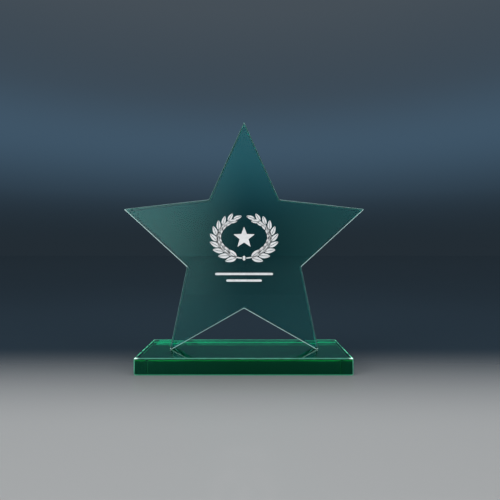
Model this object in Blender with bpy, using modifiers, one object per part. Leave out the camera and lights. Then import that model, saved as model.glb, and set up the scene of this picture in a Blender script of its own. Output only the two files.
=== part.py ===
"""Star award of green-tinted float glass, standing on a rectangular glass base.

A flat five-pointed star, cut from one sheet of glass, stands upright on two
points that are ground flat. Each of these feet is bonded to the base with a
thin film of clear adhesive. Every sharp edge of the glass carries an arris, a
narrow 45 degree chamfer.

Units are metres and +Z is up. The origin is at the middle of the base's
underside, and the star's front face looks along -Y.
"""

import math

import bmesh
import bpy

# Driving dimensions
TOTAL_HEIGHT = 0.185
BASE_WIDTH = 0.154
BASE_DEPTH = 0.060
BASE_HEIGHT = 0.012
STAR_THICKNESS = 0.010
STAR_POINTS = 5
INNER_TO_OUTER = 0.475  # radius of the notches over radius of the points
FOOT_WIDTH = 0.003  # flat ground on each of the two lower points
ARRIS = 0.00075  # leg of the chamfer on every glass edge
BOND_THICKNESS = 0.0003
CLEARANCE = 0.0003  # between pieces that touch on the real award

# Worked out from them
POINT_ANGLE = 2 * math.pi / STAR_POINTS
HALF_POINT_ANGLE = POINT_ANGLE / 2
STAR_BOTTOM = BASE_HEIGHT + BOND_THICKNESS + 2 * CLEARANCE
FLAT_ANGLE = math.radians(1)  # faces that meet at less than this are one face
SHARP_ANGLE = math.radians(30)
WELD = 1e-6

GLASS_ROUGHNESS = 0.02
GLASS_IOR = 1.52
STAR_COLOUR = (0.10, 0.42, 0.40, 1.0)
BASE_COLOUR = (0.01, 0.30, 0.17, 1.0)
ADHESIVE_COLOUR = (0.55, 0.75, 0.68, 1.0)


def lean_from_vertical(corner, tip):
    """Angle from the vertical of the edge that runs from a foot's tip up to a corner."""
    return math.atan2(abs(corner[0] - tip[0]), corner[1] - tip[1])


def polar(radius, turn):
    """Point at this radius, turned clockwise from straight up."""
    return (radius * math.sin(turn), radius * math.cos(turn))


def foot_cut_height():
    """Height ground off a lower point of the star to leave a flat FOOT_WIDTH wide.

    Both edges of a lower point lean the same way, so the flat's width is the
    height cut off times the difference of the tangents of their leans, which
    do not depend on the star's size.
    """
    tip = polar(1.0, 2 * POINT_ANGLE)
    outer = lean_from_vertical(polar(INNER_TO_OUTER, 1.5 * POINT_ANGLE), tip)
    inner = lean_from_vertical(polar(INNER_TO_OUTER, 2.5 * POINT_ANGLE), tip)
    return FOOT_WIDTH / (math.tan(inner) - math.tan(outer))


def blunted_height():
    """Height that the arris takes off the top point."""
    notch = polar(INNER_TO_OUTER, HALF_POINT_ANGLE)
    half_tip = math.atan2(notch[0], 1.0 - notch[1])
    return ARRIS * math.cos(half_tip)


def star_radius():
    """Radius of the points that gives the award its total height."""
    height = TOTAL_HEIGHT - STAR_BOTTOM + foot_cut_height() + blunted_height()
    return height / (1 + math.cos(HALF_POINT_ANGLE))


def foot_corners(side):
    """The two ends of a foot's flat, outer end first, around the star's centre."""
    radius = star_radius()
    tip = polar(radius, side * 2 * POINT_ANGLE)
    cut = foot_cut_height()
    corners = []
    for turn in (1.5, 2.5):
        notch = polar(INNER_TO_OUTER * radius, side * turn * POINT_ANGLE)
        share = cut / (notch[1] - tip[1])
        corners.append((tip[0] + share * (notch[0] - tip[0]), tip[1] + cut))
    return corners


def star_outline():
    """The star's corners, clockwise from the top point, around its centre."""
    radius = star_radius()
    corners = []
    for number in range(STAR_POINTS):
        turn = number * POINT_ANGLE
        if number == 2:
            corners += foot_corners(1)
        elif number == 3:
            corners += reversed(foot_corners(-1))
        else:
            corners.append(polar(radius, turn))
        corners.append(polar(INNER_TO_OUTER * radius, turn + HALF_POINT_ANGLE))
    return corners


def new_collection(name):
    collection = bpy.data.collections.new(name)
    bpy.context.scene.collection.children.link(collection)
    return collection


def glass_material(name, colour):
    material = bpy.data.materials.new(name)
    material.use_nodes = True
    shader = material.node_tree.nodes["Principled BSDF"]
    shader.inputs["Base Color"].default_value = colour
    shader.inputs["Roughness"].default_value = GLASS_ROUGHNESS
    shader.inputs["Metallic"].default_value = 0.0
    shader.inputs["IOR"].default_value = GLASS_IOR
    shader.inputs["Transmission Weight"].default_value = 1.0
    return material


def curve_to_mesh(curve_object):
    """A mesh object in the curve's place, with its caps welded on and made whole."""
    graph = bpy.context.evaluated_depsgraph_get()
    mesh = bpy.data.meshes.new_from_object(curve_object.evaluated_get(graph))
    shape = bmesh.new()
    shape.from_mesh(mesh)
    bmesh.ops.remove_doubles(shape, verts=shape.verts, dist=WELD)
    bmesh.ops.dissolve_limit(
        shape, angle_limit=FLAT_ANGLE, verts=shape.verts, edges=shape.edges
    )
    bmesh.ops.recalc_face_normals(shape, faces=shape.faces)
    shape.to_mesh(mesh)
    shape.free()
    name = curve_object.name
    matrix = curve_object.matrix_world.copy()
    bpy.data.objects.remove(curve_object)
    mesh_object = bpy.data.objects.new(name, mesh)
    mesh_object.matrix_world = matrix
    return mesh_object


def upright_plate(name, outline, thickness, collection):
    """A plate of this outline, standing in the XZ plane and centred on it."""
    curve = bpy.data.curves.new(name, "CURVE")
    curve.dimensions = "2D"
    curve.fill_mode = "BOTH"
    curve.extrude = thickness / 2
    spline = curve.splines.new("POLY")
    spline.points.add(len(outline) - 1)
    for point, (x, y) in zip(spline.points, outline):
        point.co = (x, y, 0, 1)
    spline.use_cyclic_u = True
    plate = bpy.data.objects.new(name, curve)
    plate.rotation_euler.x = math.pi / 2
    collection.objects.link(plate)
    bpy.context.view_layer.update()
    plate = curve_to_mesh(plate)
    collection.objects.link(plate)
    return plate


def box(name, size, centre, collection):
    """A box with its size held by its mesh, so that a bevel keeps its width."""
    bpy.ops.mesh.primitive_cube_add(size=1, location=centre)
    block = bpy.context.object
    block.name = name
    block.scale = size
    bpy.ops.object.transform_apply(location=False, rotation=False, scale=True)
    for other in list(block.users_collection):
        other.objects.unlink(block)
    collection.objects.link(block)
    return block


def add_arris(piece):
    bevel = piece.modifiers.new("arris", "BEVEL")
    bevel.width = ARRIS
    bevel.segments = 1
    bevel.limit_method = "ANGLE"
    bevel.angle_limit = SHARP_ANGLE


def make_star_plate(collection):
    plate = upright_plate("star_plate", star_outline(), STAR_THICKNESS, collection)
    centre_height = TOTAL_HEIGHT + blunted_height() - star_radius()
    plate.location.z = centre_height
    add_arris(plate)
    plate.data.materials.append(glass_material("star_glass", STAR_COLOUR))
    return plate


def make_base(collection):
    size = (BASE_WIDTH, BASE_DEPTH, BASE_HEIGHT)
    base = box("base", size, (0, 0, BASE_HEIGHT / 2), collection)
    add_arris(base)
    base.data.materials.append(glass_material("base_glass", BASE_COLOUR))
    return base


def make_bonds(collection):
    """One adhesive film under each foot, the size of the flat inside its arrises.

    The foot's inner end meets its edge at a blunt angle and has no arris.
    """
    size = (FOOT_WIDTH - ARRIS, STAR_THICKNESS - 2 * ARRIS, BOND_THICKNESS)
    height = BASE_HEIGHT + CLEARANCE + BOND_THICKNESS / 2
    material = glass_material("adhesive", ADHESIVE_COLOUR)
    bonds = []
    for side, name in ((-1, "bond_left"), (1, "bond_right")):
        outer, inner = foot_corners(side)
        middle = (outer[0] - side * ARRIS + inner[0]) / 2
        bond = box(name, size, (middle, 0, height), collection)
        bond.data.materials.append(material)
        bonds.append(bond)
    return bonds


def stand_on(origin, pieces):
    for piece in pieces:
        piece.parent = origin


def main():
    for leftover in list(bpy.data.objects):
        bpy.data.objects.remove(leftover)
    collection = new_collection("star_award")
    origin = bpy.data.objects.new("underside_centre", None)
    collection.objects.link(origin)
    pieces = [make_base(collection), make_star_plate(collection)]
    pieces += make_bonds(collection)
    stand_on(origin, pieces)


main()
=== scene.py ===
# %% [markdown]
# # A star award in tinted glass
#
# The award is two pieces of float glass. A five-pointed star plate stands on two of its points,
# and each of those points is bonded to a rectangular glass base with clear adhesive. A wreath, a
# small star and two ruled lines are etched into the star's front face.
#
# The frame that is loaded first holds the plain solids at their real sizes. Everything made here
# takes its place and size from that frame, in metres, with +Z up and the front facing -Y.

# %% Load the frame
import math

import bmesh
import bpy
import numpy as np
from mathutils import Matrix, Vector


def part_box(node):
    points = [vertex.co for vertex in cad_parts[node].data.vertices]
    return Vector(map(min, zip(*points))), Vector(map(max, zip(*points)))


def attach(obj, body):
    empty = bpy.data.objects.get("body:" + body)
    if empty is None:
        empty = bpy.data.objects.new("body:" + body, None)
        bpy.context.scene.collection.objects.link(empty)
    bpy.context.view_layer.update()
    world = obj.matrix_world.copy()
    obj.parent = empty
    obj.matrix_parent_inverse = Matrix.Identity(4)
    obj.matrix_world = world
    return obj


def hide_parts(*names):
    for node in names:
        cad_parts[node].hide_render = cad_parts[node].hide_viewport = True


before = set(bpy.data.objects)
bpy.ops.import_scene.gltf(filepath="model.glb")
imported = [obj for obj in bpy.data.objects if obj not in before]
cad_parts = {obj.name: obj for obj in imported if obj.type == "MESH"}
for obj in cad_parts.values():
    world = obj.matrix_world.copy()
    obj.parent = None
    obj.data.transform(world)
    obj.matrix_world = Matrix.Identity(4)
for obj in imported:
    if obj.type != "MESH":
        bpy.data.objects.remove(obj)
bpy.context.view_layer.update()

# %% [markdown]
# ## Sizes
#
# The boxes of the star and the base come from the frame. A five-pointed star needs two more
# numbers to be drawn: how deep its notches are, and how much of a lower point is ground away.
# They could be measured from the solid's mesh, but repeating the numbers that the solid was made
# with is exact, so the fine surfaces fall on the plain ones.

# %% The sizes that everything follows
MM = 0.001
POINTS = 5
POINT_TURN = 2 * math.pi / POINTS
NOTCH_TO_POINT = 0.475  # radius of the notches over radius of the points
ARRIS = 0.75 * MM  # leg of the ground chamfer on every glass edge
FOOT_WIDTH = 3.0 * MM  # width of a foot at the height where the solid star ends

star_low, star_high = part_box("star_plate")
base_low, base_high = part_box("base")
star_thickness = star_high.y - star_low.y
print("star box", tuple(star_low), tuple(star_high))
print("base box", tuple(base_low), tuple(base_high))

# %% The star's radius and centre


def polar(radius, turn):
    """Point at this radius, turned clockwise from straight up, for one turn or for many."""
    return np.stack([radius * np.sin(turn), radius * np.cos(turn)], axis=-1)


def lean_tangent(turn):
    """Run over rise of a lower point's edge, from its tip up to the notch at this turn."""
    tip = polar(1.0, 2 * POINT_TURN)
    notch = polar(NOTCH_TO_POINT, turn)
    return abs(notch[0] - tip[0]) / (notch[1] - tip[1])


outer_lean = lean_tangent(1.5 * POINT_TURN)
inner_lean = lean_tangent(2.5 * POINT_TURN)
first_notch = polar(NOTCH_TO_POINT, POINT_TURN / 2)
half_tip = math.atan2(first_notch[0], 1.0 - first_notch[1])
blunted = ARRIS * math.cos(half_tip)
uncut = (star_high.z - star_low.z) + FOOT_WIDTH / (inner_lean - outer_lean) + blunted
star_radius = uncut / (1 + math.cos(POINT_TURN / 2))
star_centre = star_high.z + blunted - star_radius
print(f"star radius {star_radius / MM:.2f} mm, centre {star_centre / MM:.2f} mm up")

# %% [markdown]
# ## The camera
#
# The award is seen from straight in front, a little above the base, and from near enough that
# the top of the base shows. A tall object looked down on would taper, so the camera isn't
# tilted: it is level, which keeps upright lines upright, and its height alone opens up the base.

# %% Camera
EYE = Vector((0.0045, -0.3177, 0.0877))
LENS = 29.63  # millimetres, on a sensor of the next width
SENSOR = 36.0
LEVEL = (math.radians(90), 0.0, 0.0)  # turns a camera from looking down to looking along +Y

camera_data = bpy.data.cameras.new("camera")
camera_data.lens = LENS
camera_data.sensor_width = SENSOR
camera_data.clip_start = 0.01
camera_data.clip_end = 50.0
camera = bpy.data.objects.new("camera", camera_data)
camera.location = EYE
camera.rotation_euler = LEVEL
bpy.context.scene.collection.objects.link(camera)
bpy.context.scene.camera = camera
bpy.context.scene.view_settings.view_transform = "Standard"
print("camera stands", round(-EYE.y - star_thickness / 2, 3), "m in front of the star")

# %% [markdown]
# ## Node helpers
#
# A material is a small graph of nodes. It could be drawn by hand in the node editor, but in a
# script a few helpers make each graph read in the order in which light or colour flows: one adds
# a node, one joins sockets, and three stand for the sums, fades and mixtures used most.

# %% Node helpers


def add_node(tree, kind, inputs=None, **settings):
    """A new node of this kind, with its properties and its inputs' plain values set."""
    node = tree.nodes.new(kind)
    for name, value in settings.items():
        setattr(node, name, value)
    for name, value in (inputs or {}).items():
        node.inputs[name].default_value = value
    return node


def join(tree, *chain):
    """Links pairs of sockets: join(tree, output, input, output, input, ...)."""
    for start, end in zip(chain[::2], chain[1::2]):
        tree.links.new(start, end)


def feed(tree, term, socket):
    """Gives a socket another socket's output, or a plain value."""
    if isinstance(term, bpy.types.NodeSocket):
        tree.links.new(term, socket)
    else:
        socket.default_value = term


def maths(tree, operation, first, second=0.0):
    """Output of a Math node on two terms, each a socket or a number."""
    node = add_node(tree, "ShaderNodeMath", operation=operation)
    feed(tree, first, node.inputs[0])
    feed(tree, second, node.inputs[1])
    return node.outputs["Value"]


def size_of(tree, value):
    """Output that holds a value without its sign."""
    return maths(tree, "ABSOLUTE", value)


def product(tree, first, second):
    """Output of one term times another."""
    return maths(tree, "MULTIPLY", first, second)


def fade(tree, value, start, end):
    """Output that goes smoothly from 0 where a value is at start to 1 where it is at end."""
    node = add_node(tree, "ShaderNodeMapRange", interpolation_type="SMOOTHSTEP")
    node.inputs["From Min"].default_value = min(start, end)
    node.inputs["From Max"].default_value = max(start, end)
    node.inputs["To Min"].default_value = 0.0 if start < end else 1.0
    node.inputs["To Max"].default_value = 1.0 if start < end else 0.0
    join(tree, value, node.inputs["Value"])
    return node.outputs["Result"]


def mixed(tree, share, first, second, blend="MIX"):
    """Output of a colour mix, where each term is a socket or a colour of three numbers."""
    node = add_node(tree, "ShaderNodeMix", data_type="RGBA", blend_type=blend)
    feed(tree, share, node.inputs["Factor"])
    for label, term in (("A", first), ("B", second)):
        whole = term if isinstance(term, bpy.types.NodeSocket) else (*term, 1.0)
        feed(tree, whole, node.inputs[label])
    return node.outputs["Result"]


def new_material(name):
    """A material with its node tree and its Principled shader."""
    material = bpy.data.materials.new(name)
    material.use_nodes = True
    return material, material.node_tree, material.node_tree.nodes["Principled BSDF"]


# %% [markdown]
# ## Surroundings
#
# Glass shows its surroundings, so they matter as much as the glass. Behind the award is a
# slate-blue backdrop, brightest in a band behind the star's top. Pale reflectors stand to its
# sides, opposite its front and overhead, and the glass mirrors each as a soft sheen.
#
# They could be area lights or glowing cards, but in glass both give grainy bright specks. Here
# the world itself, whose colour depends on the direction only, holds the backdrop and the
# reflectors as soft patches, because a smooth gradient gives smooth reflections.

# %% The backdrop's colours and the reflectors
SKY = [  # height of a direction above the horizon (its sine), and the light from there
    (0.00, (0.017, 0.026, 0.035)),
    (0.06, (0.016, 0.026, 0.036)),
    (0.13, (0.024, 0.042, 0.062)),
    (0.24, (0.058, 0.110, 0.168)),
    (0.35, (0.040, 0.060, 0.082)),
    (0.50, (0.060, 0.080, 0.100)),
    (1.00, (0.080, 0.090, 0.100)),
]
PATCHES = [  # azimuth and elevation, radius where it ends and where it is full, light
    ((-152, 6), 28, 2, (2.7, 2.6, 2.6)),
    ((152, 8), 28, 2, (0.6, 0.8, 0.8)),
    ((180, 38), 34, 0, (1.15, 1.0, 0.95)),
    ((180, 3), 22, 4, (0.14, 0.16, 0.16)),
    ((-108, 14), 30, 2, (0.8, 0.85, 0.85)),
    ((108, 14), 30, 2, (0.6, 0.65, 0.65)),
    ((180, 85), 50, 20, (1.2, 1.25, 1.25)),
]


def heading(azimuth, elevation):
    """Direction at an azimuth, clockwise from +Y as seen from above, and an elevation."""
    turn, rise = math.radians(azimuth), math.radians(elevation)
    return (math.sin(turn) * math.cos(rise), math.cos(turn) * math.cos(rise), math.sin(rise))


def sky_colours(tree, upward):
    """Colour of the backdrop from the sine of the height above the horizon."""
    ramp = add_node(tree, "ShaderNodeValToRGB")
    ramp.color_ramp.interpolation = "B_SPLINE"
    stops = ramp.color_ramp.elements
    while len(stops) < len(SKY):
        stops.new(1.0)
    for stop, (place, colour) in zip(stops, SKY):
        stop.position = place
        stop.color = (*colour, 1.0)
    join(tree, upward, ramp.inputs["Fac"])
    return ramp.outputs["Color"]


def patch_of_light(tree, direction, way, ends, full, light):
    """Soft patch around a heading, from the cosine of the angle away from it."""
    dot = add_node(tree, "ShaderNodeVectorMath", {1: heading(*way)}, operation="DOT_PRODUCT")
    join(tree, direction, dot.inputs[0])
    edge, middle = math.cos(math.radians(ends)), math.cos(math.radians(full))
    return mixed(tree, fade(tree, dot.outputs["Value"], edge, middle), (0, 0, 0), light)


# %% World
world = bpy.data.worlds.new("studio")
world.use_nodes = True
bpy.context.scene.world = world
sky = world.node_tree
sky.nodes.clear()
view = add_node(sky, "ShaderNodeTexCoord")
split = add_node(sky, "ShaderNodeSeparateXYZ")
join(sky, view.outputs["Generated"], split.inputs["Vector"])
total = sky_colours(sky, split.outputs["Z"])
for way, ends, full, light in PATCHES:
    patch = patch_of_light(sky, view.outputs["Generated"], way, ends, full, light)
    total = mixed(sky, 1.0, total, patch, "ADD")
background = add_node(sky, "ShaderNodeBackground")
world_out = add_node(sky, "ShaderNodeOutputWorld")
join(sky, total, background.inputs["Color"])
join(sky, background.outputs["Background"], world_out.inputs["Surface"])
print("world:", len(SKY), "backdrop colours and", len(PATCHES), "patches of light")

# %% [markdown]
# ## Soft lights
#
# The reflectors alone would leave the table, the frosted emblem and the ground edges dim. Three
# softboxes light those from a few metres away, so that the light is even and its shadows are
# soft. A mirror or clear glass would show each softbox as a hard white square. So they light
# only what is matt: mirrored rays and rays that pass through glass miss them, and the camera
# doesn't see them.

# %% Soft lights
SOFTBOXES = [  # name, azimuth and elevation, side of the square, watts
    ("left_softbox", (-125, 24), 1.3, 62.0),
    ("right_softbox", (125, 24), 1.3, 35.0),
    ("top_softbox", (180, 68), 2.0, 28.0),
]
SOFTBOX_DISTANCE = 3.0
WARM_WHITE = (1.0, 0.99, 0.97)


def softbox(name, way, side, watts):
    """Square area light that stands around the award and faces it, seen by no mirror or eye."""
    data = bpy.data.lights.new(name, "AREA")
    data.shape = "SQUARE"
    data.size = side
    data.energy = watts
    data.color = WARM_WHITE
    light = bpy.data.objects.new(name, data)
    light.location = Vector(heading(*way)) * SOFTBOX_DISTANCE
    light.rotation_euler = light.location.to_track_quat("Z", "Y").to_euler()
    light.visible_camera = False
    light.visible_glossy = False
    light.visible_transmission = False
    bpy.context.scene.collection.objects.link(light)
    return light


for name, way, side, watts in SOFTBOXES:
    softbox(name, way, side, watts)
    print(name, "at azimuth and elevation", way)

# %% [markdown]
# ## Detail that several finishes share
#
# Three marks of handling turn up on more than one surface, so each is a node group that is built
# once. A cleaning cloth leaves faint streaks that change only the gloss. A polishing wheel runs
# along a glass edge and leaves fine lines along it, so its pattern changes only through the
# plate's thickness and leaves the flat faces alone. Grinding and etching leave a sugary grain.

# %% Making a node group


def new_group(name, numbers, vectors, results):
    """Node group with number inputs, vector inputs and number outputs, and its two ends."""
    group = bpy.data.node_groups.new(name, "ShaderNodeTree")
    for kind, inputs in (("NodeSocketFloat", numbers), ("NodeSocketVector", vectors)):
        for label, value in inputs.items():
            socket = group.interface.new_socket(label, in_out="INPUT", socket_type=kind)
            socket.default_value = value
    for label in results:
        group.interface.new_socket(label, in_out="OUTPUT", socket_type="NodeSocketFloat")
    return group, add_node(group, "NodeGroupInput"), add_node(group, "NodeGroupOutput")


def stretched_noise(tree, stretch, scale, detail):
    """Noise on object coordinates that are first multiplied by a vector."""
    where = add_node(tree, "ShaderNodeTexCoord")
    scaled = add_node(tree, "ShaderNodeVectorMath", operation="MULTIPLY")
    noise = add_node(tree, "ShaderNodeTexNoise", {"Detail": detail})
    join(tree, where.outputs["Object"], scaled.inputs[0])
    feed(tree, stretch, scaled.inputs[1])
    join(tree, scaled.outputs["Vector"], noise.inputs["Vector"])
    feed(tree, scale, noise.inputs["Scale"])
    return noise.outputs["Fac"]


# %% The three groups
EVEN = (1.0, 1.0, 1.0)
WIPED = (1.0, 1.0, 0.35)  # streaks are drawn out upwards
SMEAR_EDGE = (0.52, 0.72)
CLUMPS = 0.12  # scale of the grain's shade over the scale of its bumps
CLUMP_EDGE = (0.3, 0.7)
CLOTH_DETAIL = 3.0
GROUND_DETAIL = 2.0

streaks, start, end = new_group(
    "cloth_streaks", {"Scale": 20.0, "Clean": 0.0, "Smeared": 0.05}, {}, ["Roughness"]
)
wipe = stretched_noise(streaks, WIPED, start.outputs["Scale"], CLOTH_DETAIL)
extra = maths(streaks, "SUBTRACT", start.outputs["Smeared"], start.outputs["Clean"])
extra = product(streaks, extra, fade(streaks, wipe, *SMEAR_EDGE))
extra = maths(streaks, "ADD", extra, start.outputs["Clean"])
join(streaks, extra, end.inputs["Roughness"])

wheel, start, end = new_group(
    "wheel_lines", {"Scale": 2500.0}, {"Through": (0.0, 1.0, 0.0)}, ["Height"]
)
through, scale = start.outputs["Through"], start.outputs["Scale"]
lines = stretched_noise(wheel, through, scale, GROUND_DETAIL)
join(wheel, lines, end.inputs["Height"])

grain, start, end = new_group("ground_grain", {"Scale": 3000.0}, {}, ["Shade", "Height"])
fine = stretched_noise(grain, EVEN, start.outputs["Scale"], GROUND_DETAIL)
coarse_scale = product(grain, start.outputs["Scale"], CLUMPS)
coarse = stretched_noise(grain, EVEN, coarse_scale, GROUND_DETAIL)
shade = fade(grain, coarse, *CLUMP_EDGE)
join(grain, shade, end.inputs["Shade"], fine, end.inputs["Height"])
print("node groups:", [group.name for group in bpy.data.node_groups])

# %% Placing a group in a material


def place_group(tree, group, values):
    """A node that stands for the group in this material, with its own values."""
    node = add_node(tree, "ShaderNodeGroup", node_tree=group)
    for label, value in values.items():
        node.inputs[label].default_value = value
    return node


def add_bump(tree, height, strength, distance, shader):
    """Turns a height into the small tilts of the surface that the shader sees."""
    bump = add_node(tree, "ShaderNodeBump", {"Strength": strength, "Distance": distance})
    join(tree, height, bump.inputs["Height"], bump.outputs["Normal"], shader.inputs["Normal"])


# %% [markdown]
# ## The table
#
# The award stands on a smooth laminate table top. A thick slab isn't needed, since only its top
# shows, so it is one flat sheet a fifth of a millimetre under the glass. It is pale in front of
# the award, and behind it painted darkness fades it to slate where the light would fall off,
# which keeps the view through the clear legs dark without a hard line behind them. Right under
# the base the painted darkness is left out and the table stays pale, so that the base is lit
# from below.

# %% Table top
TABLE_SIZE = 12.0
TABLE_GAP = 0.2 * MM  # under the base, so that the two faces don't coincide

half = TABLE_SIZE / 2
ground = base_low.z - TABLE_GAP
mesh = bpy.data.meshes.new("table")
spread = np.array([(-1, -1), (1, -1), (1, 1), (-1, 1)]) * half
mesh.from_pydata(np.column_stack([spread, np.full(4, ground)]).tolist(), [], [(0, 1, 2, 3)])
table = bpy.data.objects.new("table", mesh)
bpy.context.scene.collection.objects.link(table)
print("table:", TABLE_SIZE, "m square, top at", round(ground / MM, 2), "mm")

# %% The table's finish
# The pale tone is the table's own. The slate is painted darkness where the light would fall off
# behind the award.
PALE = (0.27, 0.275, 0.28)
PAINTED_DARK_SLATE = (0.010, 0.015, 0.020)
PAINTED_DARK_FADE = (-0.12, 0.056)  # places in Y where the pale tone starts to fade and has gone
UNPAINTED_PATCH_EDGE = (-2.5 * MM, -0.5 * MM)  # fade round the unpainted patch under the base, from the base's sides outwards
TABLE_IOR = 1.4
TABLE_SHINE = 0.15

laminate, tree, shader = new_material("laminate")
shader.inputs["IOR"].default_value = TABLE_IOR
shader.inputs["Specular IOR Level"].default_value = TABLE_SHINE
where = add_node(tree, "ShaderNodeTexCoord")
place = add_node(tree, "ShaderNodeSeparateXYZ")
join(tree, where.outputs["Object"], place.inputs["Vector"])
beside = maths(tree, "SUBTRACT", size_of(tree, place.outputs["X"]), base_high.x)
beyond = maths(tree, "SUBTRACT", size_of(tree, place.outputs["Y"]), base_high.y)
outside = fade(tree, maths(tree, "MAXIMUM", beside, beyond), *UNPAINTED_PATCH_EDGE)
# Painted darkness behind the award, left out under the base.
share = product(tree, fade(tree, place.outputs["Y"], *PAINTED_DARK_FADE), outside)
pale_and_painted_dark = mixed(tree, share, PALE, PAINTED_DARK_SLATE)
gloss = place_group(tree, streaks, {"Scale": 6.0, "Clean": 0.10, "Smeared": 0.13})
join(tree, pale_and_painted_dark, shader.inputs["Base Color"])
join(tree, gloss.outputs["Roughness"], shader.inputs["Roughness"])
table.data.materials.append(laminate)
print("table's tone fades over", PAINTED_DARK_FADE, "m")

# %% [markdown]
# ## Glass plates as stacked rings
#
# Both pieces of glass are plates: a flat outline, two parallel faces, and a chamfer round
# every edge, which a glazier calls an arris. Such a plate is a stack of rings. Each ring is the
# outline moved inwards by some distance, at some depth. Two rings make the band between them,
# and the first and last ring are closed with a fan of triangles from their middle. A Bevel
# modifier would do much the same, but here every ring has the same number of points, so the
# plate stays one even grid and its flat faces stay perfectly flat, which matters in glass.

# %% Rings
ARRIS_ROUNDNESS = 0.2
ARRIS_STEPS = 7


def outline_ring(corners, inset, convex_radius, concave_radius, steps):
    """Outline moved inwards by inset, with every corner rounded, as an (n, 2) array.

    A corner is an arc between the normals of the two edges that meet there. At a convex
    corner the arc lies inside, at its radius from both edges. At a concave corner it lies
    outside, and its radius grows with the inset so that the edges stay parallel.
    """
    before = corners - np.roll(corners, 1, axis=0)
    after = np.roll(corners, -1, axis=0) - corners
    along_in = before / np.linalg.norm(before, axis=1, keepdims=True)
    along_out = after / np.linalg.norm(after, axis=1, keepdims=True)
    out_in = np.stack([along_in[:, 1], -along_in[:, 0]], axis=1)
    out_out = np.stack([along_out[:, 1], -along_out[:, 0]], axis=1)
    cross = along_in[:, 0] * along_out[:, 1] - along_in[:, 1] * along_out[:, 0]
    dot = (along_in * along_out).sum(axis=1)
    turn = np.arctan2(cross, dot)
    mitre = (out_in + out_out) / (1 + (out_in * out_out).sum(axis=1))[:, None]
    convex = turn > 0
    centre_shift = np.where(convex, -(inset + convex_radius), concave_radius)
    radius = np.where(convex, convex_radius, -(concave_radius + inset))
    centre = corners + centre_shift[:, None] * mitre
    start = np.arctan2(out_in[:, 1], out_in[:, 0])
    angle = start[:, None] + turn[:, None] * np.linspace(0, 1, steps)[None, :]
    normal = np.stack([np.cos(angle), np.sin(angle)], axis=2)
    points = centre[:, None, :] + radius[:, None, None] * normal
    return points.reshape(-1, 2)


def arris_profile(leg, roundness, steps):
    """Inset and depth of a chamfer's points, from the face to the side.

    A flat chamfer goes straight from one to the other, and a full quarter round follows
    the circle that touches both. This one is the flat mixed with the round.
    """
    share = np.linspace(0, 1, steps)
    angle = share * math.pi / 2
    inset = (1 - roundness) * (1 - share) + roundness * (1 - np.sin(angle))
    depth = (1 - roundness) * share + roundness * (1 - np.cos(angle))
    return leg * inset, leg * depth


def stacked_rings(corners, insets, depths, radii, steps):
    """Rings of one outline at several insets and depths, as an (m, n, 3) array."""
    rings = [outline_ring(corners, one, radii[0], radii[1], steps) for one in insets]
    flat = np.stack(rings)
    deep = np.broadcast_to(depths[:, None, None], flat.shape[:2] + (1,))
    return np.concatenate([flat, deep], axis=2)


def plate_rings(corners, thickness, radii, steps):
    """Rings of a plate from one face to the other, with the chamfer at both."""
    inset, depth = arris_profile(ARRIS, ARRIS_ROUNDNESS, ARRIS_STEPS)
    insets = np.concatenate([inset, inset[::-1]])
    depths = np.concatenate([depth, thickness - depth[::-1]])
    return stacked_rings(corners, insets, depths, radii, steps)


# %% From rings to a closed mesh


def mesh_object(name, points, faces):
    """Object with a mesh of these points and faces, linked to the scene."""
    mesh = bpy.data.meshes.new(name)
    mesh.from_pydata(points.reshape(-1, 3).tolist(), [], faces)
    thing = bpy.data.objects.new(name, mesh)
    bpy.context.scene.collection.objects.link(thing)
    print(f"{name}: {len(mesh.vertices)} points, {len(mesh.polygons)} faces")
    return thing


def closed_mesh(name, rings, first_pole, last_pole):
    """Mesh of rings (m, n, 3), each joined to the next, with a pole closing each end.

    With the rings counter-clockwise as seen from the first pole's side, every face
    points outwards.
    """
    rows, count = rings.shape[:2]
    points = np.concatenate([rings.reshape(-1, 3), [first_pole], [last_pole]])
    here = np.arange(count)
    there = np.roll(here, -1)
    row = np.arange(rows - 1)[:, None] * count
    quads = np.stack(
        [row + here, row + count + here, row + count + there, row + there], axis=2
    ).reshape(-1, 4)
    first = np.stack([np.full(count, rows * count), here, there], axis=1)
    end = (rows - 1) * count
    last = np.stack([np.full(count, rows * count + 1), end + there, end + here], axis=1)
    return mesh_object(name, points, quads.tolist() + first.tolist() + last.tolist())


# %% [markdown]
# ## The star plate
#
# The star is cut from one sheet of float glass, and its edges are ground straight and polished.
# The saw leaves each notch with a small radius, and the points are blunted so that they don't
# cut. Its outline is ten corners, at two radii in turn, with the two lowest points cut off level
# to make the feet. It could be cut from a sheet with booleans, but the outline is short enough
# to state outright, and then the rings above give its faces, edges and arrises at once.

# %% Star plate
NOTCH_RADIUS = 0.6 * MM
FILM = 0.1 * MM  # adhesive between a foot and the base
TIP_STEPS = 9


def star_corners(foot_height):
    """Corners of the star around its centre, counter-clockwise, cut off flat at the feet."""
    turns = -np.arange(2 * POINTS) * POINT_TURN / 2
    radii = np.where(np.arange(2 * POINTS) % 2 == 0, star_radius, NOTCH_TO_POINT * star_radius)
    sharp = polar(radii, turns)
    corners = []
    for number, corner in enumerate(sharp):
        if corner[1] > foot_height:
            corners.append(corner)
            continue
        for other in (sharp[number - 1], sharp[(number + 1) % len(sharp)]):
            share = (foot_height - corner[1]) / (other[1] - corner[1])
            corners.append(corner + share * (other - corner))
    return np.array(corners)


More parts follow.
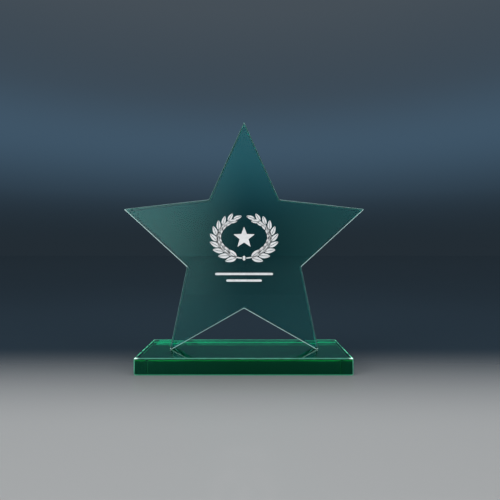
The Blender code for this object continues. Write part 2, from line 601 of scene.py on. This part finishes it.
foot_height = base_high.z + FILM - star_centre
tip_radius = blunted / (1 / math.sin(half_tip) - 1)
outline = star_corners(foot_height)
star_radii = (tip_radius, NOTCH_RADIUS)
rings = plate_rings(outline, star_thickness, star_radii, TIP_STEPS)
placed = np.stack(
    [rings[..., 0], star_low.y + rings[..., 2], star_centre + rings[..., 1]], axis=2
)
star = closed_mesh(
    "star_plate_fine", placed, (0, star_low.y, star_centre), (0, star_high.y, star_centre)
)
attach(star, "root")
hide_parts("star_plate")
print(f"points rounded to {tip_radius / MM:.2f} mm")

# %% [markdown]
# ## The base
#
# The base is a block of thicker, deeper green glass with the same arris round its two faces. Its
# upright corners are rubbed down to a small radius. It is the same stack of rings round a
# rectangle, laid flat.

# %% Base
CORNER_RADIUS = 0.9 * MM
CORNER_STEPS = 5
half_width = (base_high.x - base_low.x) / 2
half_depth = (base_high.y - base_low.y) / 2
base_height = base_high.z - base_low.z
rectangle = np.array([(1, -1), (1, 1), (-1, 1), (-1, -1)]) * (half_width, half_depth)
base_radii = (CORNER_RADIUS, CORNER_RADIUS)
rings = plate_rings(rectangle, base_height, base_radii, CORNER_STEPS)
placed = np.stack([rings[..., 0], rings[..., 1], base_high.z - rings[..., 2]], axis=2)
base = closed_mesh("base_fine", placed, (0, 0, base_high.z), (0, 0, base_low.z))
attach(base, "root")
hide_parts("base")

# %% [markdown]
# ## Tinted glass
#
# Glass is coloured all through, so a thicker path through it looks deeper: the star is teal
# across its face and much darker along its edges. Colouring the surface would tint every path
# alike. Here the surface is colourless and the inside takes light away, a share for each
# millimetre, which gives the deep edges and the paler rims by itself. Cloth streaks change the
# gloss a little, and the polishing wheel's lines lie along the edges.

# %% Glass materials
GLASS_IOR = 1.52
TINT_PATH = 10 * MM  # length over which a glass's tint is given
TEAL_KEPT = (0.12, 0.73, 0.67)  # shares of red, green and blue left after that length
GREEN_KEPT = (0.04, 0.76, 0.57)
TEAL_SHEEN = (0.45, 0.75, 0.75)  # tint of what the faces mirror head-on
GREEN_SHEEN = (0.10, 0.7, 0.55)
DENSEST = 0.95  # absorption colours stay just short of full
LINE_STRENGTH = 0.4
LINE_DEPTH = 0.01 * MM
ALONG_STAR = (0.0, 1.0, 0.0)  # lines that change only through each plate's thickness
ALONG_BASE = (0.0, 0.0, 1.0)


def absorb(kept):
    """Colour and density of an absorbing volume that keeps this share of light over the path.

    A volume takes away density times (1 - colour) for each metre, so the share that is left
    falls by the exponential of that.
    """
    loss = [-math.log(share) / TINT_PATH for share in kept]
    density = max(loss) / DENSEST
    return [1 - one / density for one in loss], density


def glass(name, kept, sheen, through):
    """Clear surface round an absorbing inside, with lines that change along one axis."""
    material, tree, shader = new_material(name)
    shader.inputs["Base Color"].default_value = (1.0, 1.0, 1.0, 1.0)
    shader.inputs["IOR"].default_value = GLASS_IOR
    shader.inputs["Transmission Weight"].default_value = 1.0
    shader.inputs["Specular Tint"].default_value = (*sheen, 1.0)
    smears = place_group(tree, streaks, {"Scale": 24.0, "Clean": 0.0, "Smeared": 0.02})
    join(tree, smears.outputs["Roughness"], shader.inputs["Roughness"])
    marks = place_group(tree, wheel, {"Scale": 2500.0, "Through": through})
    add_bump(tree, marks.outputs["Height"], LINE_STRENGTH, LINE_DEPTH, shader)
    colour, density = absorb(kept)
    volume = add_node(
        tree, "ShaderNodeVolumeAbsorption", {"Color": (*colour, 1.0), "Density": density}
    )
    join(tree, volume.outputs["Volume"], tree.nodes["Material Output"].inputs["Volume"])
    return material


star.data.materials.append(glass("teal_glass", TEAL_KEPT, TEAL_SHEEN, ALONG_STAR))
base.data.materials.append(glass("green_glass", GREEN_KEPT, GREEN_SHEEN, ALONG_BASE))
print("tints over 10 mm:", TEAL_KEPT, GREEN_KEPT)

# %% [markdown]
# ## Ground arrises
#
# The narrow chamfers are ground, not polished, so they scatter light and draw every edge of the
# award as a fine pale line. How bright each one is, and its glow, is painted light: those that
# face down are painted paler and glowing. The chamfer could be a second material on the same
# mesh, but glass of which some faces have another surface no longer holds its tint as one closed
# volume. So each ground strip is its own closed ribbon, a hundredth of a millimetre thick, that
# lies on its chamfer.

# %% Ribbons
RIBBON_LIFT = 0.008 * MM  # over the glass, so that the two faces don't coincide
RIBBON_THICK = 0.01 * MM
RUBBED = 0.45 * MM  # margin on the top of the base
RUBBED_UNDER = 1.0 * MM  # margin on its underside


def ribbon_rings(corners, margin, radii, steps):
    """Rings round a ribbon: out over its outer side, and back along its inner side.

    It takes the chamfer's profile without its two ends, pushed out along the diagonal. A
    margin carries it on over the plate's face, where the rubbing went past the chamfer.
    """
    inset, depth = arris_profile(ARRIS, ARRIS_ROUNDNESS, ARRIS_STEPS)
    inset, depth = inset[1:-1], depth[1:-1]
    outer = (RIBBON_LIFT + RIBBON_THICK) / math.sqrt(2)
    inner = RIBBON_LIFT / math.sqrt(2)
    insets = [inset - outer, (inset - inner)[::-1]]
    depths = [depth - outer, (depth - inner)[::-1]]
    if margin:
        rim = np.array([ARRIS + margin, ARRIS])
        insets = [rim, *insets, rim[::-1]]
        depths = [np.full(2, -RIBBON_LIFT - RIBBON_THICK), *depths, np.full(2, -RIBBON_LIFT)]
    return stacked_rings(corners, np.concatenate(insets), np.concatenate(depths), radii, steps)


def wrapped_mesh(name, rings):
    """Mesh of rings (m, n, 3) that wraps both ways, so that it closes like a tyre."""
    rows, count = rings.shape[:2]
    index = np.arange(rows * count).reshape(rows, count)
    below = np.roll(index, -1, axis=0)
    quads = np.stack(
        [index, below, np.roll(below, -1, axis=1), np.roll(index, -1, axis=1)], axis=2
    )
    thing = mesh_object(name, rings, quads.reshape(-1, 4).tolist())
    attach(thing, "root")
    return thing


flat = ribbon_rings(outline, 0.0, star_radii, TIP_STEPS)
front = np.stack([flat[..., 0], star_low.y + flat[..., 2], star_centre + flat[..., 1]], axis=2)
back = np.stack([flat[..., 0], star_high.y - flat[..., 2], star_centre + flat[..., 1]], axis=2)
star_ribbons = [
    wrapped_mesh("star_arris_front", front), wrapped_mesh("star_arris_back", back[::-1])
]
flat = ribbon_rings(rectangle, RUBBED, base_radii, CORNER_STEPS)
top = np.stack([flat[..., 0], flat[..., 1], base_high.z - flat[..., 2]], axis=2)
flat = ribbon_rings(rectangle, RUBBED_UNDER, base_radii, CORNER_STEPS)
bottom = np.stack([flat[..., 0], flat[..., 1], base_low.z + flat[..., 2]], axis=2)
base_ribbons = [
    wrapped_mesh("base_arris_top", top), wrapped_mesh("base_arris_bottom", bottom[::-1])
]

# %% [markdown]
# ## Bars
#
# The rubbed-down corners of the base, and the leaves and stems of the emblem, are all thin
# bars that follow a short line: a small four-sided loop that moves along in steps. One function
# makes any number of them at once from an array of loops. Its faces are all turned outwards at
# the end, because some bars are mirrored and a mirror turns a surface inside out.

# %% Bars and corner strips
CORNER_MARGIN = math.radians(8)


def bars_mesh(name, loops):
    """Closed bars from loops (bar, step, 4, 3), each with a face at both ends."""
    index = np.arange(loops.size // 3).reshape(loops.shape[:3])
    turned = np.roll(index, -1, axis=2)
    walls = np.stack([index[:, :-1], turned[:, :-1], turned[:, 1:], index[:, 1:]], axis=3)
    ends = index[:, 0, ::-1].tolist() + index[:, -1].tolist()
    thing = mesh_object(name, loops, walls.reshape(-1, 4).tolist() + ends)
    shape = bmesh.new()
    shape.from_mesh(thing.data)
    bmesh.ops.recalc_face_normals(shape, faces=shape.faces)
    shape.to_mesh(thing.data)
    shape.free()
    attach(thing, "root")
    return thing


def corner_loops():
    """Loops over the base's four upright corners, an arc a little outside each."""
    angle = np.linspace(CORNER_MARGIN, math.pi / 2 - CORNER_MARGIN, CORNER_STEPS + 2)
    near = CORNER_RADIUS + RIBBON_LIFT
    radius = np.array([near, near + RIBBON_THICK, near + RIBBON_THICK, near])
    x = half_width - CORNER_RADIUS + np.cos(angle)[:, None] * radius
    y = half_depth - CORNER_RADIUS + np.sin(angle)[:, None] * radius
    low, high = base_low.z + ARRIS, base_high.z - ARRIS
    z = np.broadcast_to([low, low, high, high], x.shape)
    one = np.stack([x, y, z], axis=2)
    signs = np.array([(1, 1, 1), (-1, 1, 1), (-1, -1, 1), (1, -1, 1)])
    return one[None] * signs[:, None, None, :]


base_ribbons.append(bars_mesh("base_corner_arrises", corner_loops()))

# %% [markdown]
# ## Finish of the ground edges
#
# A ground edge of tinted glass is the glass's own colour with white scattered over it, broken up
# by the grain. Light that travels inside the plate comes out there, so the edge glows. That
# could be left to the render, but it takes very many bounces, so these finishes give off a
# little light of their own colour instead.

# %% What the ground edges share
ROUGH_EDGE = 0.45
EDGE_GRAIN = 2500.0
GRAIN_STRENGTH = 0.5
GRAIN_DEPTH = 0.02 * MM
UNLIT = (0.0, 0.0, 0.0)


def facing_up(tree):
    """How far the surface faces up, from -1 to 1, by the mesh's own normals."""
    where = add_node(tree, "ShaderNodeTexCoord")
    parts = add_node(tree, "ShaderNodeSeparateXYZ")
    join(tree, where.outputs["Normal"], parts.inputs["Vector"])
    return parts.outputs["Z"]


def grainy(tree, colour, shader, scale, depth):
    """Feeds the shader a colour that the grain darkens in places, and the grain's bump."""
    sugar = place_group(tree, grain, {"Scale": scale})
    darker = mixed(tree, 1.0, colour, (depth, depth, depth), "MULTIPLY")
    join(tree, mixed(tree, sugar.outputs["Shade"], darker, colour), shader.inputs["Base Color"])
    add_bump(tree, sugar.outputs["Height"], GRAIN_STRENGTH, GRAIN_DEPTH, shader)
    return sugar


def ground_material(name):
    """A rough material that may glow, with its node tree and its shader."""
    material, tree, shader = new_material(name)
    shader.inputs["Roughness"].default_value = ROUGH_EDGE
    shader.inputs["Emission Strength"].default_value = 1.0
    return material, tree, shader


def finish_pieces(material, pieces):
    """Gives these pieces the material."""
    for piece in pieces:
        piece.data.materials.append(material)
    print(material.name, "on", [piece.name for piece in pieces])


# %% [markdown]
# ## The star's edges
#
# Which way a chamfer of the star faces decides how it is painted: the upper edges are painted
# dark, as painted shade, and the lower ones pale with a painted glow, as painted light. Each edge
# could have its own material, but a fade by the way the surface faces does all ten at once, and
# it stays put however the award is turned, because it reads the object's own axes.

# %% The star's edges
# Painted shade on the upper edges; painted light and a painted glow on the lower ones.
UPPER_EDGE_PAINTED_SHADE = (0.045, 0.11, 0.11)
LOWER_EDGE_PAINTED_LIGHT = (0.56, 0.74, 0.73)
PAINTED_EDGE_GLOW = (0.10, 0.15, 0.15)
PAINTED_LIGHT_FACING = (0.10, -0.15)  # how far up an edge faces where its painted light starts and is full
STAR_GRAIN_SHADE = 0.75

star_edges, tree, shader = ground_material("ground_star_edges")
# The lower edges take the painted light and glow, by the way they face.
lower = fade(tree, facing_up(tree), *PAINTED_LIGHT_FACING)
grainy(tree, mixed(tree, lower, UPPER_EDGE_PAINTED_SHADE, LOWER_EDGE_PAINTED_LIGHT), shader, EDGE_GRAIN, STAR_GRAIN_SHADE)
join(tree, mixed(tree, lower, UNLIT, PAINTED_EDGE_GLOW), shader.inputs["Emission Color"])
finish_pieces(star_edges, star_ribbons)

# %% [markdown]
# ## The base's edges
#
# Each edge of the base gathers a different amount of light, and that light is painted into its
# colour. The long front edge stays deep green, the rear edge is a painted bright line, the short
# edges break up into painted mint green highlights in dashes, and the upper corners end in
# painted glints. The lower edges are painted a dim green. The mint, rear and lower edges also
# have a painted glow. One material does them all: masks made from the place on the base pick out
# the parts, and colours are mixed over each other by those masks.

# %% Masks of painted light on the base's edges
END_BAND = (2.2 * ARRIS, 1.6 * ARRIS)  # distance from an end where the painted mint highlight starts and is full
REAR_BAND = (3.0 * ARRIS, 2.4 * ARRIS)  # the same from the back
DASH_STRETCH = (0.2, 1.0, 0.2)
DASH_SCALE = 300.0
DASH_DETAIL = 2.0
DASH_EDGE = (0.40, 0.58)
UPRIGHT = (0.35, 0.1)  # how far from level a surface faces where a corner starts and is full
FRONT_HALF = (0.1, -0.1 * MM)  # places in Y
FRONT_DIMMING = 0.8  # share of its painted mint highlight that an upright corner loses in front
TOPSIDE = (0.2, 0.4)  # how far up a surface faces
GLINT_LENGTH = (4 * MM, 1 * MM)  # distance from an end where a painted glint starts and is full
GLINT_WIDTH = (half_depth - 3 * MM, half_depth - 1 * MM)


def painted_mint_mask(tree, up, place, side):
    """Where the painted mint highlight lies: in dashes at the ends and all along the back,
    and the back alone.

    An upright corner faces neither up nor down. In front it loses most of its painted mint.
    """
    behind = maths(tree, "SUBTRACT", half_depth, place["Y"])
    painted_rear = fade(tree, behind, *REAR_BAND)
    noise = stretched_noise(tree, DASH_STRETCH, DASH_SCALE, DASH_DETAIL)
    painted_dashes = product(tree, fade(tree, side, *END_BAND), fade(tree, noise, *DASH_EDGE))
    painted_lit = maths(tree, "MAXIMUM", painted_dashes, painted_rear)
    upright = product(tree, fade(tree, size_of(tree, up), *UPRIGHT), FRONT_DIMMING)
    painted_front_dimming = product(tree, upright, fade(tree, place["Y"], *FRONT_HALF))
    return product(tree, painted_lit, maths(tree, "SUBTRACT", 1.0, painted_front_dimming)), painted_rear


def painted_glint_mask(tree, up, place, side):
    """Painted glint where two upper edges meet: near an end, near a long side, and facing up."""
    near = fade(tree, size_of(tree, place["Y"]), *GLINT_WIDTH)
    corner = product(tree, fade(tree, side, *GLINT_LENGTH), near)
    return product(tree, corner, fade(tree, up, *TOPSIDE))


# %% The base's edges
# Painted light on the base's edges: mint highlights at the ends, pale glints at the corners, a
# glowing line along the back and a dim glow underneath.
LONG_EDGE = (0.018, 0.14, 0.10)
SHORT_EDGE_PAINTED_HIGHLIGHT = (0.16, 0.74, 0.44)
PAINTED_CORNER_GLINT = (0.62, 0.88, 0.78)
LOW_EDGE_PAINTED_LIGHT = (0.03, 0.26, 0.15)
PAINTED_MINT_GLOW = (0.05, 0.46, 0.24)
PAINTED_REAR_GLOW = (0.08, 0.55, 0.33)
PAINTED_LOW_GLOW = (0.01, 0.18, 0.10)
UNDERSIDE = (-0.2, -0.5)  # how far up a lower edge faces where its painted light starts and is full
BASE_GRAIN_SHADE = 0.7

base_edges, tree, shader = ground_material("ground_base_edges")
where = add_node(tree, "ShaderNodeTexCoord")
parts = add_node(tree, "ShaderNodeSeparateXYZ")
join(tree, where.outputs["Object"], parts.inputs["Vector"])
place = parts.outputs
up = facing_up(tree)
side = maths(tree, "SUBTRACT", half_width, size_of(tree, place["X"]))
# Masks of painted light: mint highlights, the back line, the lit underside and the glints.
painted_mint, painted_rear = painted_mint_mask(tree, up, place, side)
low = fade(tree, up, *UNDERSIDE)
colour = mixed(tree, painted_mint, mixed(tree, low, LONG_EDGE, LOW_EDGE_PAINTED_LIGHT), SHORT_EDGE_PAINTED_HIGHLIGHT)
colour = mixed(tree, painted_glint_mask(tree, up, place, side), colour, PAINTED_CORNER_GLINT)
grainy(tree, colour, shader, EDGE_GRAIN, BASE_GRAIN_SHADE)
# The painted glow, brightest along the back.
painted_glow_colour = mixed(tree, painted_rear, PAINTED_MINT_GLOW, PAINTED_REAR_GLOW)
painted_glow = mixed(tree, painted_mint, mixed(tree, low, UNLIT, PAINTED_LOW_GLOW), painted_glow_colour)
join(tree, painted_glow, shader.inputs["Emission Color"])
finish_pieces(base_edges, base_ribbons)

# %% [markdown]
# ## The adhesive
#
# Clear adhesive fills a tenth of a millimetre under each foot, and what squeezes out is drawn
# into the corner round it as a small hollow fillet, wider under the slanting inner edge. A plain
# box would show a hard rim where the real joint is soft. So each bond is a stack of rings again:
# from the middle of the film out to the foot's edge, up the glass to where the fillet ends,
# down its hollow curve, and back under to the middle.

# %% Shape of a bond
CLIMB = 0.25 * MM  # how far the fillet climbs above the foot
GLASS_GAP = 0.025 * MM  # between the adhesive and the star's arris
BASE_GAP = 0.01 * MM
REACH = (0.5 * MM, 0.18 * MM, 0.22 * MM)  # past its contact: inner side, outer side, front
BEAD_RADIUS = 0.2 * MM
BEAD_STEPS = 6
FILLET_STEPS = 7


def bead_ring(inner, outer, deep, height):
    """Rounded rectangle from one end of a foot to the other, so deep to each side, at a height."""
    low, high = min(inner, outer), max(inner, outer)
    box = np.array([(high, -deep), (high, deep), (low, deep), (low, -deep)])
    flat = outline_ring(box, 0.0, BEAD_RADIUS, BEAD_RADIUS, BEAD_STEPS)
    return np.column_stack([flat, np.full(len(flat), height)])


def bond(name, side):
    """Film and fillet of the foot on this side, where side is -1 for the left."""
    feet = outline[np.isclose(outline[:, 1], foot_height)][:, 0]
    ends = np.sort(np.abs(feet[feet * side > 0]))
    lower = base_high.z + FILM - BASE_GAP
    upper = base_high.z + FILM + CLIMB
    face = star_thickness / 2 - ARRIS
    rings = [bead_ring(side * ends[0], side * ends[1], face, lower)]
    touch = np.array([ends[0] - inner_lean * CLIMB, ends[1] - outer_lean * CLIMB, face + CLIMB])
    touch += np.array([-1, 1, 1]) * GLASS_GAP
    for turn in np.linspace(0, math.pi / 2, FILLET_STEPS):
        out = np.array([-1, 1, 1]) * np.array(REACH) * (1 - math.cos(turn))
        inner, outer, deep = touch + out
        drop = (FILM + CLIMB - BASE_GAP) * math.sin(turn)
        rings.append(bead_ring(side * inner, side * outer, deep, upper - drop))
    middle = side * ends.mean()
    floor = rings[-1][0, 2]
    thing = closed_mesh(name, np.stack(rings), (middle, 0, lower), (middle, 0, floor))
    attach(thing, "root")
    return thing


# %% The two bonds
ADHESIVE_TINT = (0.92, 0.98, 0.96, 1.0)
ADHESIVE_IOR = 1.48

cured, tree, shader = new_material("clear_adhesive")
shader.inputs["Base Color"].default_value = ADHESIVE_TINT
shader.inputs["IOR"].default_value = ADHESIVE_IOR
shader.inputs["Transmission Weight"].default_value = 1.0
smears = place_group(tree, streaks, {"Scale": 400.0, "Clean": 0.04, "Smeared": 0.15})
join(tree, smears.outputs["Roughness"], shader.inputs["Roughness"])
for side, name, node in ((-1, "adhesive_left", "bond_left"), (1, "adhesive_right", "bond_right")):
    piece = bond(name, side)
    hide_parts(node)
    piece.data.materials.append(cured)
print("bonds:", FILM / MM, "mm thick, fillets", CLIMB / MM, "mm up the feet")

# %% [markdown]
# ## The etched emblem
#
# A laurel wreath round a small star is etched into the star's front face, over two ruled lines
# where a name would go. Etching frosts the glass to a few hundredths of a millimetre, so it
# could be a mask in the glass's material, but then its edges would be only as sharp as the
# mask. Here each mark is a thin frosted shape that lies on the face.
#
# A leaf is two halves with a clear vein between them. The leaves stand in pairs along an oval,
# smaller towards the top, and one leaf ends each branch. A small tie joins the two branches.

# %% The oval that the wreath follows
WREATH_CENTRE = 97 * MM
WREATH_HALF = (20.5 * MM, 15.5 * MM)


def oval(turn):
    """Point on the wreath's oval, where turn runs from straight down up the right side."""
    return np.stack([WREATH_HALF[0] * np.sin(turn), -WREATH_HALF[1] * np.cos(turn)], axis=-1)


def along_oval(turn):
    """Unit direction along the oval at a turn, which is the slope of the oval there."""
    slope = np.stack([WREATH_HALF[0] * np.cos(turn), WREATH_HALF[1] * np.sin(turn)], axis=-1)
    return slope / np.linalg.norm(slope, axis=-1, keepdims=True)


def turned(directions, angle):
    """Directions (n, 2) turned counter-clockwise by an angle."""
    x, y = directions[:, 0], directions[:, 1]
    return np.stack(
        [x * math.cos(angle) - y * math.sin(angle), x * math.sin(angle) + y * math.cos(angle)],
        axis=1,
    )


print("wreath:", [2 * half / MM for half in WREATH_HALF], "mm between its stems")

# %% Half leaves
LEAF_LENGTH = 9.0 * MM
LEAF_HALF_WIDTH = 1.75 * MM
LEAF_VEIN = 0.35 * MM
LEAF_EDGE = 0.02 * MM  # what is left of a half leaf at its two ends
LEAF_STEPS = 13
ROOTWARD = 0.8  # below 1, the widest place moves towards the root
FULLNESS = 0.9  # below 1, the leaf is fuller at both ends


def leaf_halves(roots, aims, sizes):
    """Edges of both halves of many leaves, as (leaf and half, step, edge, 2) points.

    A half leaf lies between the vein and a bulging outer edge. The bulge is the sine of
    half a turn over the leaf's length, pushed towards the root by a power of the share.
    """
    share = np.linspace(0, 1, LEAF_STEPS)
    bulge = np.sin(math.pi * share**ROOTWARD) ** FULLNESS
    reach = LEAF_LENGTH * sizes[:, None] * share
    along = roots[:, None, :] + aims[:, None, :] * reach[..., None]
    across = np.stack([-aims[:, 1], aims[:, 0]], axis=1)
    inner = np.full((len(roots), LEAF_STEPS), LEAF_VEIN / 2)
    outer = inner + LEAF_HALF_WIDTH * sizes[:, None] * bulge[None, :] + LEAF_EDGE
    offsets = np.stack([inner, outer], axis=2)
    shift = np.array([1.0, -1.0])[None, :, None, None] * offsets[:, None, :, :]
    edges = along[:, None, :, None, :] + shift[..., None] * across[:, None, None, None, :]
    return edges.reshape(-1, LEAF_STEPS, 2, 2)


# %% From edges to frosted bars
ETCH_LIFT = 0.01 * MM  # over the glass, so that the two faces don't coincide
ETCH_THICK = 0.04 * MM
etch_near = star_low.y - ETCH_LIFT - ETCH_THICK
etch_far = star_low.y - ETCH_LIFT


def etched_bars(name, edges):
    """Bars on the star's face from pairs of edges (bar, step, 2, 2), and their mirror images."""
    both = np.concatenate([edges, edges * np.array([-1.0, 1.0])])
    both = both + np.array([0.0, WREATH_CENTRE])
    flat = both[:, :, [0, 1, 1, 0]]
    depth = np.broadcast_to([etch_near, etch_near, etch_far, etch_far], flat.shape[:3])
    return bars_mesh(name, np.stack([flat[..., 0], depth, flat[..., 1]], axis=3))


# %% The leaves
LEAF_TURNS = np.radians(np.linspace(14, 142, 9))
LEAF_SPLAY = math.radians(27)
LAST_STEP = 0.22  # turn from the last pair to the leaf that ends the branch
ROOT_GAP = 0.9 * MM  # from the stem's middle to a leaf's root
SMALLEST = 0.72  # the top leaf over the lowest

forward = along_oval(LEAF_TURNS)
sizes = np.linspace(1.0, SMALLEST, len(LEAF_TURNS))
last = LEAF_TURNS[-1:] + LAST_STEP
outer_aims, inner_aims = turned(forward, LEAF_SPLAY), turned(forward, -LEAF_SPLAY)
aims = np.concatenate([outer_aims, inner_aims, along_oval(last)])
roots = np.concatenate([oval(LEAF_TURNS), oval(LEAF_TURNS), oval(last)])
roots = roots + aims * ROOT_GAP
leaf_sizes = np.concatenate([sizes, sizes, sizes[-1:]])
wreath = etched_bars("etched_wreath", leaf_halves(roots, aims, leaf_sizes))

# %% The stems
STEM_TURNS = np.radians(np.linspace(4.5, 148, 45))
STEM_HALF_WIDTH = (0.45 * MM, 0.2 * MM)  # at the tie and at the top

outward = turned(along_oval(STEM_TURNS), -math.pi / 2)
width = np.linspace(*STEM_HALF_WIDTH, len(STEM_TURNS))[:, None]
stem = np.stack([oval(STEM_TURNS) - outward * width, oval(STEM_TURNS) + outward * width], axis=1)
stems = etched_bars("etched_stems", stem[None])

# %% The small star, the tie and the ruled lines
SMALL_STAR = 8.5 * MM
SMALL_NOTCH = 0.42
SMALL_ROUND = 0.15 * MM
SMALL_STEPS = 4
RULES = [  # name, length, height and place up the star
    ("etched_tie", 2.0 * MM, 3.6 * MM, WREATH_CENTRE - WREATH_HALF[1]),
    ("etched_rule_long", 44 * MM, 1.7 * MM, 69.5 * MM),
    ("etched_rule_short", 27 * MM, 1.7 * MM, 64.5 * MM),
]
RULE_ROUND = 0.49  # corner radius over the shorter side, just under a half circle
RULE_STEPS = 7


def etched_plate(name, corners, radius, height, steps):
    """Thin plate on the star's face with this outline and rounded corners."""
    ring = outline_ring(corners, 0.0, radius, radius, steps) + np.array([0.0, height])
    rings = np.stack([np.insert(ring, 1, depth, axis=1) for depth in (etch_near, etch_far)])
    thing = closed_mesh(name, rings, (0.0, etch_near, height), (0.0, etch_far, height))
    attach(thing, "root")
    return thing


radii = np.where(np.arange(2 * POINTS) % 2 == 0, SMALL_STAR, SMALL_NOTCH * SMALL_STAR)
small_corners = polar(radii, -np.arange(2 * POINTS) * POINT_TURN / 2)
etched = [wreath, stems]
etched.append(etched_plate("etched_star", small_corners, SMALL_ROUND, WREATH_CENTRE, SMALL_STEPS))
for name, length, high, place in RULES:
    bar = np.array([(1, -1), (1, 1), (-1, 1), (-1, -1)]) * (length / 2, high / 2)
    etched.append(etched_plate(name, bar, RULE_ROUND * min(length, high), place, RULE_STEPS))

# %% [markdown]
# ## Frosting
#
# Etched glass is matt white because its surface is a field of tiny pits. Its grain is finer than
# the ground edges' and the same in every direction, with slow clouds where the acid bit less.

# %% Frosted finish
FROST = (0.54, 0.555, 0.57)
FROST_GRAIN = 4000.0
FROST_SHADE = 0.88
FROST_ROUGH = 0.5
FROST_CLOUDS = 0.15  # added roughness where the acid bit less

frosted, tree, shader = new_material("etched_frost")
sugar = grainy(tree, FROST, shader, FROST_GRAIN, FROST_SHADE)
rough = product(tree, sugar.outputs["Shade"], FROST_CLOUDS)
join(tree, maths(tree, "ADD", rough, FROST_ROUGH), shader.inputs["Roughness"])
finish_pieces(frosted, etched)
